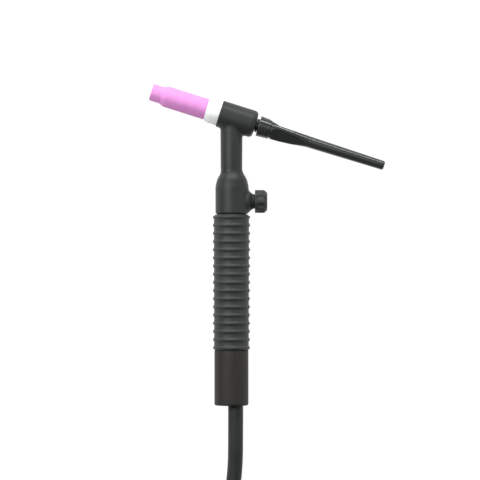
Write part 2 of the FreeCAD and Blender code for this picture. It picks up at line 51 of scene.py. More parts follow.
VIEW_WIDTH = 398.4 * MM
CAMERA_RISE = 3.0
SENSOR_WIDTH = 36.0
view_centre = crossing + Vector((7.1, -101.8, 0)) * MM

scene = bpy.context.scene
lens = bpy.data.cameras.new("view")
lens.sensor_width = SENSOR_WIDTH
lens.lens = SENSOR_WIDTH * CAMERA_RISE / VIEW_WIDTH
lens.clip_end = 100.0
camera = bpy.data.objects.new("view", lens)
camera.location = view_centre + Z_WAY * CAMERA_RISE
scene.collection.objects.link(camera)
scene.camera = camera
scene.view_settings.view_transform = "Standard"


def soft_light(name, way, distance, size, watts, tint=(1.0, 1.0, 1.0)):
    """Rectangular soft box (width, height) that faces the middle of the view."""
    lamp = bpy.data.lights.new(name, "AREA")
    lamp.shape = "RECTANGLE"
    lamp.size, lamp.size_y = size
    lamp.energy = watts
    lamp.color = tint
    holder = bpy.data.objects.new(name, lamp)
    holder.location = view_centre + Vector(way).normalized() * distance
    holder.rotation_euler = (-Vector(way)).to_track_quat("-Z", "Y").to_euler()
    scene.collection.objects.link(holder)


COOL_WHITE = (0.96, 1.0, 0.99)
soft_light("low strip behind the head", (0.0, 0.92, 0.39), 1.5, (2.0, 0.26), 23.5, COOL_WHITE)
soft_light("overhead", (-0.28, 0.45, 1.0), 1.6, (1.6, 1.6), 11.0)
soft_light("left of the handle", (-0.54, 0.22, 0.81), 1.5, (0.36, 0.8), 10.5, COOL_WHITE)
soft_light("right side", (0.93, -0.05, 0.35), 1.3, (0.9, 1.6), 5.0, COOL_WHITE)

world = bpy.data.worlds.new("room")
scene.world = world
world.use_nodes = True
room_light = world.node_tree.nodes["Background"].inputs
room_light["Color"].default_value = (1.0, 1.0, 1.0, 1.0)
room_light["Strength"].default_value = 0.08

TABLE_REACH = 40.0
TABLE_TOP = -0.0003
table_corners = ((-1, -1), (1, -1), (1, 1), (-1, 1))
floor_mesh = bpy.data.meshes.new("table")
floor_mesh.from_pydata([(x * TABLE_REACH, y * TABLE_REACH, TABLE_TOP) for x, y in table_corners],
                       [], [(0, 1, 2, 3)])
floor = bpy.data.objects.new("table", floor_mesh)
scene.collection.objects.link(floor)
floor_paint = bpy.data.materials.new("pale table")
floor_paint.use_nodes = True
for socket, value in {"Base Color": (0.10, 0.10, 0.10, 1.0), "Roughness": 0.9,
                      "Specular IOR Level": 0.1, "Emission Color": (1.0, 1.0, 1.0, 1.0),
                      "Emission Strength": 0.97}.items():
    floor_paint.node_tree.nodes["Principled BSDF"].inputs[socket].default_value = value
floor_mesh.materials.append(floor_paint)


# ---- Power cable ----
# One-piece rubber hose, 12.5 mm across, that carries the current and the gas. It leaves the
# handle's mouth, comes down to the table and is wound into a flat coil out of the way.
class Value:
    """One output in a material's tree, so that sums of shader values read as sums."""

    def __init__(self, finish, socket):
        self.finish = finish
        self.socket = socket

    def sum(self, operation, first, second):
        return self.finish.node("ShaderNodeMath", {"operation": operation},
                                {0: first, 1: second})["Value"]

    def __add__(self, other):
        return self.sum("ADD", self, other)

    def __radd__(self, other):
        return self.sum("ADD", other, self)

    def __sub__(self, other):
        return self.sum("SUBTRACT", self, other)

    def __rsub__(self, other):
        return self.sum("SUBTRACT", other, self)

    def __mul__(self, other):
        return self.sum("MULTIPLY", self, other)

    def __rmul__(self, other):
        return self.sum("MULTIPLY", other, self)


class Finish:
    """A material of this torch, mixed from nodes on its Principled shader."""

    def __init__(self, name, **constants):
        self.material = bpy.data.materials.new(name)
        self.material.use_nodes = True
        self.tree = self.material.node_tree
        self.shader = self.tree.nodes["Principled BSDF"]
        for socket, value in constants.items():
            self.shader.inputs[socket.replace("_", " ")].default_value = value
        self.place = self.node("ShaderNodeTexCoord", {}, {})["Object"]

    def node(self, kind, settings, sockets):
        """Adds a node: its settings first, then the values or links of its sockets."""
        made = self.tree.nodes.new(kind)
        for name, value in settings.items():
            setattr(made, name, value)
        for name, value in sockets.items():
            self.feed(made.inputs[name], value)
        return {output.name: Value(self, output) for output in made.outputs if output.enabled}

    def feed(self, socket, value):
        if isinstance(value, Value):
            self.tree.links.new(value.socket, socket)
        else:
            socket.default_value = value

    def noise(self, scale, detail=3.0, place=None):
        return self.node("ShaderNodeTexNoise", {},
                         {"Vector": place or self.place, "Scale": scale, "Detail": detail})["Fac"]

    def tint(self, share, low, high):
        """Colour between low and high, by share."""
        return self.node("ShaderNodeMix", {"data_type": "RGBA"},
                         {"Factor": share, 6: (*low, 1.0), 7: (*high, 1.0)})["Result"]

    def band(self, value, low, high, low_out=0.0, high_out=1.0):
        """Value stretched from low..high to low_out..high_out, and held there."""
        return self.node("ShaderNodeMapRange", {"clamp": True},
                         {"Value": value, "From Min": low, "From Max": high,
                          "To Min": low_out, "To Max": high_out})["Result"]

    def colour(self, value):
        self.feed(self.shader.inputs["Base Color"], value)

    def roughness(self, value):
        self.feed(self.shader.inputs["Roughness"], value)

    def relief(self, height, depth):
        """Bump of a given depth in metres."""
        bump = self.node("ShaderNodeBump", {}, {"Height": height, "Distance": depth})
        self.feed(self.shader.inputs["Normal"], bump["Normal"])


def cable_rubber():
    """Matt black sheath: talc-grey bloom in patches, fine extrusion grain, small scuffs."""
    rubber = Finish("cable rubber", Specular_IOR_Level=0.35)
    bloom = rubber.noise(38.0, 4.0)
    scuff = rubber.band(rubber.noise(420.0, 2.0), 0.60, 0.70)
    rubber.colour(rubber.tint(rubber.band(bloom, 0.35, 0.75) * 0.6 + scuff * 0.3,
                              (0.020, 0.021, 0.022), (0.042, 0.042, 0.042)))
    rubber.roughness(rubber.band(bloom, 0.3, 0.7, 0.52, 0.66) - scuff * 0.06)
    rubber.relief(rubber.noise(1900.0, 2.0) + scuff * 0.6, 0.00006)
    return rubber.material


CABLE_R = 6.25 * MM
TIE_THICK = 1.2 * MM
POINTS_A_TURN = 24          # route points for each turn of the coil


def route_point(x, y, z):
    """Point from distances to the crossing in X and Y and from the table in Z, in mm."""
    return Vector((crossing.x + x * MM, crossing.y + y * MM, z * MM))


coil_centre = route_point(75.0, -405.0, 0.0)
lane = 2 * CABLE_R
first_level = TIE_THICK + CABLE_R
COIL_START = 160.0          # degrees round the coil, where the cable comes in
COIL_OUTSIDE = 97.0 * MM
LAP_IN = 3.5                # turns wound inwards on the table
LAP_OUT = 6.5               # then outwards on top of them
LAP_END = 7.2417            # then inwards again, as far as the last stretch
CLIMB = 0.45                # share of a turn taken to climb a layer


def coil_radius(lap):
    """Radius of the coil's middle line after a number of turns."""
    innermost = COIL_OUTSIDE - lane * LAP_IN
    outermost = innermost + lane * (LAP_OUT - LAP_IN)
    if lap < LAP_IN:
        return COIL_OUTSIDE - lane * lap
    if lap < LAP_OUT:
        return innermost + lane * (lap - LAP_IN)
    return outermost - lane * (lap - LAP_OUT)


def coil_height(lap):
    """Height of the coil's middle line, which climbs a layer where the winding turns back."""
    height = first_level
    for start in (LAP_IN, LAP_OUT):
        share = min(max((lap - start) / CLIMB, 0.0), 1.0)
        height += lane * share * share * (3 - 2 * share)
    return height


def on_coil(lap, radius, height):
    turn = math.radians(COIL_START) + 2 * math.pi * lap
    return coil_centre + Vector((radius * math.cos(turn), radius * math.sin(turn), height))


end_point = Vector(joints["end_nut_spin"]["pos_m"])
end_way = Vector(joints["end_nut_spin"]["axis"]).normalized()
mouth = route_point(3.5, -239.1, 15.4)
cable_route = [
    mouth,
    route_point(3.5, -261.0, 15.4),
    route_point(3.2, -294.0, 7.9),
    route_point(-1.5, -325.0, 6.6),
    route_point(-8.6, -351.1, 6.9),
]
outside_corner = 1 / math.cos(math.pi / POINTS_A_TURN)     # the spline runs inside its points
for step in range(round(LAP_END * POINTS_A_TURN)):
    lap = step / POINTS_A_TURN
    cable_route.append(on_coil(lap, coil_radius(lap) * outside_corner, coil_height(lap)))
LAST_LAP = 7.4              # turns at the end fitting
for degrees_back, radius, height in ((57, 81.5, 32.5), (38, 80.9, 33.2), (18, 80.2, 36.6)):
    cable_route.append(on_coil(LAST_LAP - degrees_back / 360, radius * MM, height * MM))
IN_FERRULE = 22.0 * MM      # hose inside the end ferrule
cable_route += [end_point, end_point + end_way * IN_FERRULE]

cable_line = bpy.data.curves.new("power_cable", "CURVE")
cable_line.dimensions = "3D"
cable_line.bevel_depth = CABLE_R
cable_line.bevel_resolution = 8
cable_line.resolution_u = 8
cable_line.use_fill_caps = True
cable_spline = cable_line.splines.new("NURBS")
cable_spline.points.add(len(cable_route) - 1)
for point, spot in zip(cable_spline.points, cable_route):
    point.co = (*spot, 1.0)
cable_spline.order_u = 3
cable_spline.use_endpoint_u = True
cable_line.materials.append(cable_rubber())
cable = bpy.data.objects.new("power_cable_run", cable_line)
scene.collection.objects.link(cable)
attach(cable, "torch")
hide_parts("power_cable", "power_cable_coil", "power_cable_end")


# ---- Coil ties ----
# Three hook-and-loop straps, 12 mm wide, pulled round the whole bundle of turns; the free
# end lies back over the strap.
def tie_webbing():
    """Black woven strap: fine diagonal weave, fuzzy where the loops are."""
    webbing = Finish("tie webbing", Specular_IOR_Level=0.25, Sheen_Weight=0.15)
    weave = webbing.node("ShaderNodeTexWave", {"bands_direction": "DIAGONAL"},
                         {"Vector": webbing.place, "Scale": 420.0, "Distortion": 2.0,
                          "Detail": 1.0})["Fac"]
    fuzz = webbing.noise(900.0, 3.0)
    webbing.colour(webbing.tint(weave * 0.5 + fuzz * 0.5,
                                (0.018, 0.018, 0.02), (0.05, 0.05, 0.055)))
    webbing.roughness(webbing.band(fuzz, 0.2, 0.8, 0.75, 0.95))
    webbing.relief(weave + fuzz * 0.5, 0.00015)
    return webbing.material


def shown(name, mesh, material, body, slot, *stands_for):
    """Puts a finished mesh in the scene on its body, in place of its CAD nodes."""
    mesh.materials.clear()
    mesh.materials.append(material)
    piece = bpy.data.objects.new(name, mesh)
    scene.collection.objects.link(piece)
    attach(piece, body)
    if stands_for:
        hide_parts(*stands_for)
    return piece


def hull(points):
    """Convex outline of points, anticlockwise."""
    ordered = sorted(points)
    outline = []
    for pass_points in (ordered, ordered[::-1]):
        side = []
        for p in pass_points:
            while len(side) > 1:
                a, b = side[-2], side[-1]
                if (b[0] - a[0]) * (p[1] - a[1]) - (b[1] - a[1]) * (p[0] - a[0]) > 1e-12:
                    break
                side.pop()
            side.append(p)
        outline += side[:-1]
    return outline


LOOP_POINTS = 40            # on the outline of each turn of cable


def tie_loop(degrees, gap):
    """Outline of the bundle at an angle round the coil, in radius and height, from its
    highest point on."""
    first = ((degrees - COIL_START) % 360.0) / 360.0
    laps = [first + k for k in range(math.ceil(LAP_END)) if first + k < LAP_END]
    ring = []
    for lap in laps:
        for k in range(LOOP_POINTS):
            turn = 2 * math.pi * k / LOOP_POINTS
            ring.append((coil_radius(lap) + (CABLE_R + gap) * math.cos(turn),
                         coil_height(lap) + (CABLE_R + gap) * math.sin(turn)))
    loop = hull(ring)
    highest = max(range(len(loop)), key=lambda k: loop[k][1])
    return loop[highest:] + loop[:highest]


STRAP_GAP = 0.55 * MM       # cable to the middle of the strap
LAP_GAP = 1.7 * MM          # cable to the middle of the strap's free end, which lies on it
STRAP_THICK = 1.0 * MM
STRAP_ROWS = (-6.0, -3.0, 0.0, 3.0, 6.0)


def coil_tie(number, degrees, webbing):
    over = tie_loop(degrees, LAP_GAP)
    path = tie_loop(degrees, STRAP_GAP) + over[:len(over) // 3]
    turn = math.radians(degrees)
    outward = Vector((math.cos(turn), math.sin(turn), 0))
    along_turns = Vector((-math.sin(turn), math.cos(turn), 0))
    strap = bmesh.new()
    rows = []
    for radius, height in path:
        middle = coil_centre + outward * radius + Z_WAY * height
        rows.append([strap.verts.new(middle + along_turns * side * MM) for side in STRAP_ROWS])
    for row, next_row in zip(rows, rows[1:]):
        for a, b, c, d in zip(row, row[1:], next_row[1:], next_row):
            strap.faces.new((a, b, c, d))
    mesh = bpy.data.meshes.new("coil_tie")
    bmesh.ops.recalc_face_normals(strap, faces=strap.faces)
    strap.to_mesh(mesh)
    strap.free()
    mesh.shade_smooth()
    tie = shown("coil_strap_" + str(number), mesh, webbing, "torch", "tie_strap",
                "coil_tie_" + str(number))
    thickness = tie.modifiers.new("thickness", "SOLIDIFY")
    thickness.thickness = STRAP_THICK
    thickness.offset = 0.0
    edges = tie.modifiers.new("edges", "BEVEL")
    edges.width = 0.25 * MM
    edges.segments = 2
    return tie


webbing = tie_webbing()
ties = [coil_tie(number, degrees, webbing)
        for number, degrees in enumerate((55.0, 175.0, 232.0), start=1)]


# ---- End fitting ----
# Copper ferrule crimped on the hose, brass nipple, and the loose hexagonal union nut that
# screws on to the power source's adapter.
def rounded(corners, closed):
    """Outline with its corners worked round. A corner is (along, radius, fillet), in mm."""
    points = []
    count = len(corners)
    for k, (along, radius, fillet) in enumerate(corners):
        here = Vector((along, radius))
        if fillet == 0 or (not closed and k in (0, count - 1)):
            points.append(here)
            continue
        back = Vector(corners[k - 1][:2]) - here
        ahead = Vector(corners[(k + 1) % count][:2]) - here
        reach = min(fillet / math.tan(back.angle(ahead) / 2),
                    0.48 * back.length, 0.48 * ahead.length)
        start = here + back.normalized() * reach
        end = here + ahead.normalized() * reach
        steps = 3 if fillet < 1.0 else 8
        for step in range(steps + 1):
            t = step / steps
            points.append(start * (1 - t) ** 2 + here * (2 * t * (1 - t)) + end * t ** 2)
    return points


def turned(corners, origin, way, side, sides=96, closed=True, shape=None, longest=None):
    """Lathe-turned mesh about an axis. Where closed is false, the outline starts and ends on
    the axis. shape(along, angle, radius) may change the radius; longest splits long runs."""
    outline = rounded(corners, closed)
    if longest:
        finer = []
        ends = outline[1:] + (outline[:1] if closed else [])
        for here, there in zip(outline, ends):
            parts = max(1, math.ceil((there - here).length / longest))
            finer += [here.lerp(there, k / parts) for k in range(parts)]
        outline = finer if closed else finer + outline[-1:]
    across = way.cross(side)
    solid = bmesh.new()
    rings = []
    for along, radius in outline:
        if radius < 1e-6:
            rings.append([solid.verts.new(origin + way * along * MM)])
            continue
        ring = []
        for k in range(sides):
            angle = 2 * math.pi * k / sides
            reach = shape(along, angle, radius) if shape else radius
            outward = side * math.cos(angle) + across * math.sin(angle)
            ring.append(solid.verts.new(origin + (way * along + outward * reach) * MM))
        rings.append(ring)
    pairs = list(zip(rings, rings[1:] + (rings[:1] if closed else [])))
    if not closed:
        pairs = pairs[:len(rings) - 1]
    for ring, following in pairs:
        for k in range(sides):
            after = (k + 1) % sides
            corners_here = [ring[k % len(ring)], ring[after % len(ring)],
                            following[after % len(following)], following[k % len(following)]]
            corner_set = list(dict.fromkeys(corners_here))
            if len(corner_set) > 2:
                solid.faces.new(corner_set)
    bmesh.ops.recalc_face_normals(solid, faces=solid.faces)
    mesh = bpy.data.meshes.new("turned")
    solid.to_mesh(mesh)
    solid.free()
    mesh.shade_smooth()
    mesh.set_sharp_from_angle(angle=math.radians(42))
    return mesh


def turned_metal(name, colour, dark, axis, roughness=0.30):
    """Turned metal: fine tool rings along its axis, dulled in patches."""
    metal = Finish(name, Metallic=1.0)
    reading = metal.node("ShaderNodeVectorMath", {"operation": "DOT_PRODUCT"},
                         {0: metal.place, 1: axis})["Value"]
    rings = metal.node("ShaderNodeTexNoise", {"noise_dimensions": "1D"},
                       {"W": reading, "Scale": 5200.0, "Detail": 2.0})["Fac"]
    dull = metal.noise(90.0, 4.0)
    metal.colour(metal.tint(metal.band(dull, 0.38, 0.72), colour, dark))
    metal.roughness(metal.band(dull, 0.35, 0.7, roughness, roughness + 0.18) + rings * 0.06)
    metal.relief(rings + dull * 0.3, 0.00002)
    return metal.material


END_SIDE = Z_WAY
FERRULE_LENGTH = 24.0
FERRULE_R = 7.55
NUT_FLAT = 10.0             # half of 20 mm across flats
NUT_BORE_R = 7.94
NUT_THREAD = (34.9, 46.8)   # along the fitting
NUT_PITCH = 1.41
NUT_THREAD_DEPTH = 0.6
end_brass = turned_metal("end fitting brass", (0.74, 0.52, 0.22), (0.46, 0.31, 0.13), end_way)
end_copper = turned_metal("end ferrule copper", (0.72, 0.36, 0.22), (0.42, 0.20, 0.12),
                          end_way, 0.34)


def crimped(length):
    """Shape rule of a ferrule squeezed in two bands by eight crimping jaws."""
    def rule(along, angle, radius):
        if radius < FERRULE_R - 0.55:
            return radius
        squeeze = 0.0
        for centre in (0.36 * length, 0.66 * length):
            share = max(0.0, 1 - ((along - centre) / (0.12 * length)) ** 2)
            squeeze = max(squeeze, share ** 0.5 if share > 0 else 0.0)
        return radius - squeeze * (0.28 + 0.16 * abs(math.cos(4 * angle)))
    return rule


end_ferrule = shown(
    "end_ferrule_crimped",
    turned([(0.0, 3.62, 0.2), (0.0, FERRULE_R, 0.6), (FERRULE_LENGTH, FERRULE_R, 0.35),
            (FERRULE_LENGTH, 6.3, 0.1), (2.0, 6.3, 0.0), (2.0, 3.62, 0.1)],
           end_point + end_way * FERRULE_LENGTH * MM, -end_way, END_SIDE,
           shape=crimped(FERRULE_LENGTH), longest=0.8),
    end_copper, "torch", "collet_copper", "end_ferrule")
end_nipple = shown(
    "end_nipple_turned",
    turned([(22.1, 1.5, 0.0), (22.1, 3.6, 0.0), (30.2, 3.6, 0.2), (30.2, 7.2, 0.3),
            (31.7, 7.2, 0.3), (34.2, 4.2, 0.4), (34.2, 1.5, 0.2)], end_point, end_way, END_SIDE),
    end_brass, "torch", "turned_brass", "end_nipple")


def thread(along, angle, pitch):
    """Height of a screw thread at a point: 0 in the root, 1 on the crest."""
    turn = (along / pitch + angle / (2 * math.pi)) % 1.0
    return min(1.0, max(0.0, 1.7 - 3.4 * abs(turn - 0.5)))


def union_nut(along, angle, radius):
    """Hexagon of 20 mm across flats, with a screw thread cut in the bore."""
    if radius > 9.0:
        off_flat = (angle + math.pi / 6) % (math.pi / 3) - math.pi / 6
        return min(radius, NUT_FLAT / math.cos(off_flat))
    if abs(radius - NUT_BORE_R) < 0.05 and NUT_THREAD[0] < along < NUT_THREAD[1]:
        return radius + NUT_THREAD_DEPTH * (1 - thread(along, angle, NUT_PITCH))
    return radius


end_nut = shown(
    "end_nut_hexagonal",
    turned([(27.5, 3.65, 0.2), (27.5, 9.75, 0.3), (28.7, 11.5, 0.4), (46.2, 11.5, 0.4),
            (47.5, 9.75, 0.3), (47.5, 8.5, 0.2), (46.9, NUT_BORE_R, 0.0), (34.4, NUT_BORE_R, 0.0),
            (34.4, 7.3, 0.0), (30.0, 7.3, 0.0), (30.0, 3.65, 0.0)],
           end_point, end_way, END_SIDE, sides=144, shape=union_nut, longest=0.24),
    end_brass, "end_nut_spinner", "turned_brass", "end_nut")


# ---- Nozzle ----
# Pink alumina gas cup, pressed and fired, so its skin is matt and faintly grainy. It has a
# narrower tip and screws on to the collet body with the thread inside its base.
toward_nozzle = Vector(joints["nozzle_off"]["axis"]).normalized()
above_head = Z_WAY.cross(toward_nozzle) * -1


def pink_alumina():
    alumina = Finish("pink alumina", Specular_IOR_Level=0.35, Subsurface_Weight=0.04,
                     Subsurface_Scale=0.002)
    cloud = alumina.noise(130.0, 3.0)
    grain = alumina.noise(2600.0, 2.0)
    alumina.colour(alumina.tint(alumina.band(cloud, 0.3, 0.7) * 0.7 + grain * 0.3,
                                (0.72, 0.255, 0.62), (0.79, 0.31, 0.70)))
    alumina.roughness(alumina.band(grain, 0.3, 0.7, 0.50, 0.64))
    alumina.relief(grain + cloud * 0.5, 0.00005)
    return alumina.material


shown(
    "gas_nozzle",
    turned([(69.7, 4.9, 0.4), (69.7, 7.1, 0.6), (61.0, 7.15, 2.5), (56.6, 8.8, 4.0),
            (21.85, 8.8, 0.5), (21.85, 6.9, 0.3), (22.3, 6.35, 0.0), (46.0, 6.35, 0.0),
            (52.0, 4.9, 0.0)],
           crossing, toward_nozzle, above_head, sides=128),
    pink_alumina(), "nozzle_carriage", "nozzle_alumina", "nozzle")


# ---- Cup gasket ----
# White PTFE ring that seals and insulates the nozzle from the head. It is turned, so its
# skin has faint tool rings, with a rounded shoulder down to the nozzle's base.
def white_ptfe():
    ptfe = Finish("white PTFE", Specular_IOR_Level=0.4, Subsurface_Weight=0.15,
                  Subsurface_Scale=0.003)
    stain = ptfe.noise(160.0, 4.0)
    ptfe.colour(ptfe.tint(ptfe.band(stain, 0.45, 0.8) * 0.5,
                          (0.93, 0.95, 0.95), (0.80, 0.82, 0.80)))
    ptfe.roughness(ptfe.band(stain, 0.3, 0.7, 0.30, 0.42))
    reading = ptfe.node("ShaderNodeVectorMath", {"operation": "DOT_PRODUCT"},
                        {0: ptfe.place, 1: toward_nozzle})["Value"]
    rings = ptfe.node("ShaderNodeTexNoise", {"noise_dimensions": "1D"},
                      {"W": reading, "Scale": 3600.0, "Detail": 1.0})["Fac"]
    ptfe.relief(rings + ptfe.noise(1500.0, 2.0) * 0.4, 0.00003)
    return ptfe.material


shown(
    "nozzle_gasket",
    turned([(10.2, 5.9, 0.0), (10.2, 10.3, 0.3), (17.6, 10.3, 3.0), (21.0, 9.3, 2.0),
            (21.8, 8.45, 0.3), (21.8, 5.9, 0.2)],
           crossing, toward_nozzle, above_head, sides=112),
    white_ptfe(), "torch", "gasket_ptfe", "cup_gasket")


# ---- Torch body ----
# Black rubber moulded in one piece over the brass head tube, the neck and the valve block,
# with a valve boss at its side. Small fillets run where the shapes meet.
def moulded_black(name, low, high, roughness, gloss=0.24):
    """Moulded black: slightly uneven gloss, a fine mould grain, pale handling marks, and
    the fine line where the two halves of the mould met."""
    black = Finish(name, Specular_IOR_Level=gloss)
    bloom = black.noise(60.0, 4.0)
    grain = black.noise(2200.0, 2.0)
    rub = black.band(black.noise(330.0, 5.0), 0.62, 0.74)
    black.colour(black.tint(black.band(bloom, 0.3, 0.75) * 0.7 + rub * 0.3, low, high))
    black.roughness(black.band(bloom, 0.3, 0.7, roughness, roughness + 0.08) + rub * 0.05)
    height = black.node("ShaderNodeSeparateXYZ", {}, {"Vector": black.place})["Z"]
    off_line = black.node("ShaderNodeMath", {"operation": "ABSOLUTE"},
                          {0: height - crossing.z})["Value"]
    flash = 1.0 - black.band(off_line, 0.00008, 0.00022)
    black.relief(grain + rub * 0.4 + flash * 2.0, 0.00004)
    return black.material


def merged(meshes, voxel, smoothing):
    """Several closed shapes as one moulded skin."""
    whole = bmesh.new()
    for mesh in meshes:
        whole.from_mesh(mesh)
        bpy.data.meshes.remove(mesh)
    rough = bpy.data.meshes.new("merged")
    whole.to_mesh(rough)
    whole.free()
    holder = bpy.data.objects.new("merged", rough)
    scene.collection.objects.link(holder)
    remesh = holder.modifiers.new("skin", "REMESH")
    remesh.mode = "VOXEL"
    remesh.voxel_size = voxel
    remesh.use_smooth_shade = True
    smooth = holder.modifiers.new("even", "SMOOTH")
    smooth.factor = 0.5
    smooth.iterations = smoothing
    skin = bpy.data.meshes.new_from_object(
        holder.evaluated_get(bpy.context.evaluated_depsgraph_get()))
    bpy.data.objects.remove(holder)
    return skin


def out_of(spot, origin, way):
    """Distance of a spot from an axis, in mm."""
    return (spot - origin).cross(way).length / MM


def filleted(mesh, junctions, rounds):
    """Lets the skin draw itself smooth where junctions(spot) says that two shapes meet."""
    skin = bmesh.new()
    skin.from_mesh(mesh)
    zone = [vert for vert in skin.verts if junctions(vert.co)]
    for _ in range(rounds):
        bmesh.ops.smooth_vert(skin, verts=zone, factor=0.5,
                              use_axis_x=True, use_axis_y=True, use_axis_z=True)
    skin.to_mesh(mesh)
    skin.free()
    return mesh


def bored(skin, *bores):
    """Cuts closed shapes out of a closed skin."""
    holder = bpy.data.objects.new("bored", skin)
    scene.collection.objects.link(holder)
    cutters = []
    for bore in bores:
        cutter = bpy.data.objects.new("bore", bore)
        scene.collection.objects.link(cutter)
        cutters.append(cutter)
        cut = holder.modifiers.new("bore", "BOOLEAN")
        cut.operation = "DIFFERENCE"
        cut.solver = "MANIFOLD"
        cut.object = cutter
    bpy.context.view_layer.update()
    solid = holder.evaluated_get(bpy.context.evaluated_depsgraph_get())
    mesh = bpy.data.meshes.new_from_object(solid)
    for finished in (holder, *cutters):
        bpy.data.objects.remove(finished)
    mesh.set_sharp_from_angle(angle=math.radians(50))
    return mesh


SKIN_VOXEL = 0.42 * MM
X_WAY, Y_WAY = Vector((1, 0, 0)), Vector((0, 1, 0))
down_handle = -Y_WAY
valve_point = Vector(joints["knob_turn"]["pos_m"])
housing_axis = crossing + X_WAY * 0.5 * MM
barrel = turned([(-20.9, 0.0, 0.0), (-20.9, 11.35, 3.9), (10.2, 11.35, 0.35), (10.2, 0.0, 0.0)],
                crossing, toward_nozzle, above_head, closed=False, sides=128)
neck = turned([(0.0, 0.0, 0.0), (0.0, 9.2, 0.0), (54.5, 8.9, 0.0), (54.5, 0.0, 0.0)],
              crossing, down_handle, X_WAY, closed=False, sides=128)
housing = turned([(42.5, 0.0, 0.0), (42.5, 8.4, 0.0), (45.2, 8.9, 3.0), (51.5, 12.4, 8.0),
                  (57.5, 13.8, 10.0), (80.4, 13.8, 2.0), (80.4, 0.0, 0.0)],
                 housing_axis, down_handle, X_WAY, closed=False, sides=128)
boss = turned([(0.0, 0.0, 0.0), (0.0, 9.4, 0.0), (14.2, 9.4, 0.8), (17.6, 6.2, 1.4),
               (19.45, 6.15, 0.2), (19.45, 0.0, 0.0)],
              valve_point, X_WAY, Y_WAY, closed=False, sides=112)
spigot = turned([(76.0, 0.0, 0.0), (76.0, 11.4, 0.0), (95.0, 11.4, 0.5), (95.0, 0.0, 0.0)],
                crossing, down_handle, X_WAY, closed=False, sides=112)


def plain_bore(radius, start, end, origin, way, side):
    return turned([(start, 0.0, 0.0), (start, radius, 0.0), (end, radius, 0.0), (end, 0.0, 0.0)],
                  origin, way, side, closed=False, sides=96)


def moulding_fillets(spot):
    """Where the neck leaves the barrel and runs into the housing, and where the boss does."""
    off_head = out_of(spot, crossing, toward_nozzle)
    off_handle = out_of(spot, crossing, down_handle)
    down = (crossing.y - spot.y) / MM
    if 41.5 < down < 49.0:
        return True
    if down > 20.0:
        off_valve = out_of(spot, valve_point, X_WAY)
        return spot.x > crossing.x and off_valve < 12.2 and 13.2 < off_handle < 16.5
    return off_head < 14.2 and 8.0 < off_handle < 12.6 and off_head + off_handle > 20.4 \
        and (spot - crossing).dot(above_head) < -6 * MM


body_mesh = bored(
    filleted(merged([barrel, neck, housing, boss, spigot], SKIN_VOXEL, 7), moulding_fillets, 40),
    plain_bore(7.4, -25.0, 15.0, crossing, toward_nozzle, above_head),
    plain_bore(5.0, 4.0, 25.0, valve_point, X_WAY, Y_WAY),
    plain_bore(5.0, 80.0, 100.0, crossing, down_handle, X_WAY))
shown("torch_body_moulding", body_mesh,
      moulded_black("body rubber", (0.028, 0.029, 0.029), (0.038, 0.039, 0.039), 0.40),
      "torch", "body_rubber", "torch_body")


# ---- Back cap ----
# Long moulded phenolic cap over the rear of the electrode. Three finger flats run into its
# tapering tail, and it screws into the head against an O-ring.
CAP_FLATS = ((31.3, 8.0), (40.5, 5.1), (63.6, 4.8), (67.0, 6.5))     # (behind, flat's height)
CAP_EDGE_BLEND = 0.10
CAP_THREAD_R = 5.8
CAP_THREAD_DEPTH = 0.45
CAP_PITCH = 1.25


def cap_rule(along, angle, radius):
    """Three flats, blended softly into the round envelope."""
    behind = -along
    if radius < 3.0 or not CAP_FLATS[0][0] < behind < CAP_FLATS[-1][0]:
        return radius
    for (b0, h0), (b1, h1) in zip(CAP_FLATS, CAP_FLATS[1:]):
        if b0 <= behind <= b1:
            flat = h0 + (h1 - h0) * (behind - b0) / (b1 - b0)
    off_flat = (angle + math.pi / 3) % (2 * math.pi / 3) - math.pi / 3
    cut = flat / max(math.cos(off_flat), 0.2)
    lower, gap = min(cut, radius), abs(cut - radius)
    return lower - max(0.0, CAP_EDGE_BLEND * 2 - gap) ** 2 / (8 * CAP_EDGE_BLEND)


def cap_thread(along, angle, radius):
    """Screw thread of 1.25 mm pitch on the cap's spigot."""
    if radius < CAP_THREAD_R - 0.1 or along < -20.6:
        return radius
    return radius - CAP_THREAD_DEPTH * (1 - thread(along, angle, CAP_PITCH))


CAP_OUTLINE = [
    (-129.0, 0.0, 0.0), (-129.0, 2.0, 0.0), (-23.4, 2.0, 0.0), (-23.4, 3.85, 0.0),
    (-23.6, 3.85, 0.0), (-23.6, 8.65, 0.35), (-30.5, 8.15, 0.0), (-33.6, 8.0, 0.25),
    (-34.0, 7.15, 0.2), (-35.3, 7.15, 0.2), (-35.8, 7.75, 0.3), (-43.6, 7.35, 6.0),
    (-54.0, 6.5, 12.0), (-61.2, 5.45, 4.0), (-66.5, 4.8, 6.0), (-96.6, 4.36, 0.0),
    (-133.0, 3.85, 2.4), (-133.0, 0.0, 0.0),
]


def phenolic():
    """Glossy black phenolic with faint flow marks and fine hairline scratches."""
    black = Finish("glossy phenolic", Specular_IOR_Level=0.50)
    flow = black.noise(45.0, 5.0)
    haze = black.noise(700.0, 4.0)
    black.colour(black.tint(flow, (0.024, 0.025, 0.026), (0.032, 0.033, 0.034)))
    black.roughness(black.band(haze, 0.3, 0.75, 0.15, 0.23) + flow * 0.03)
    black.relief(flow + haze * 0.1, 0.00002)
    return black.material


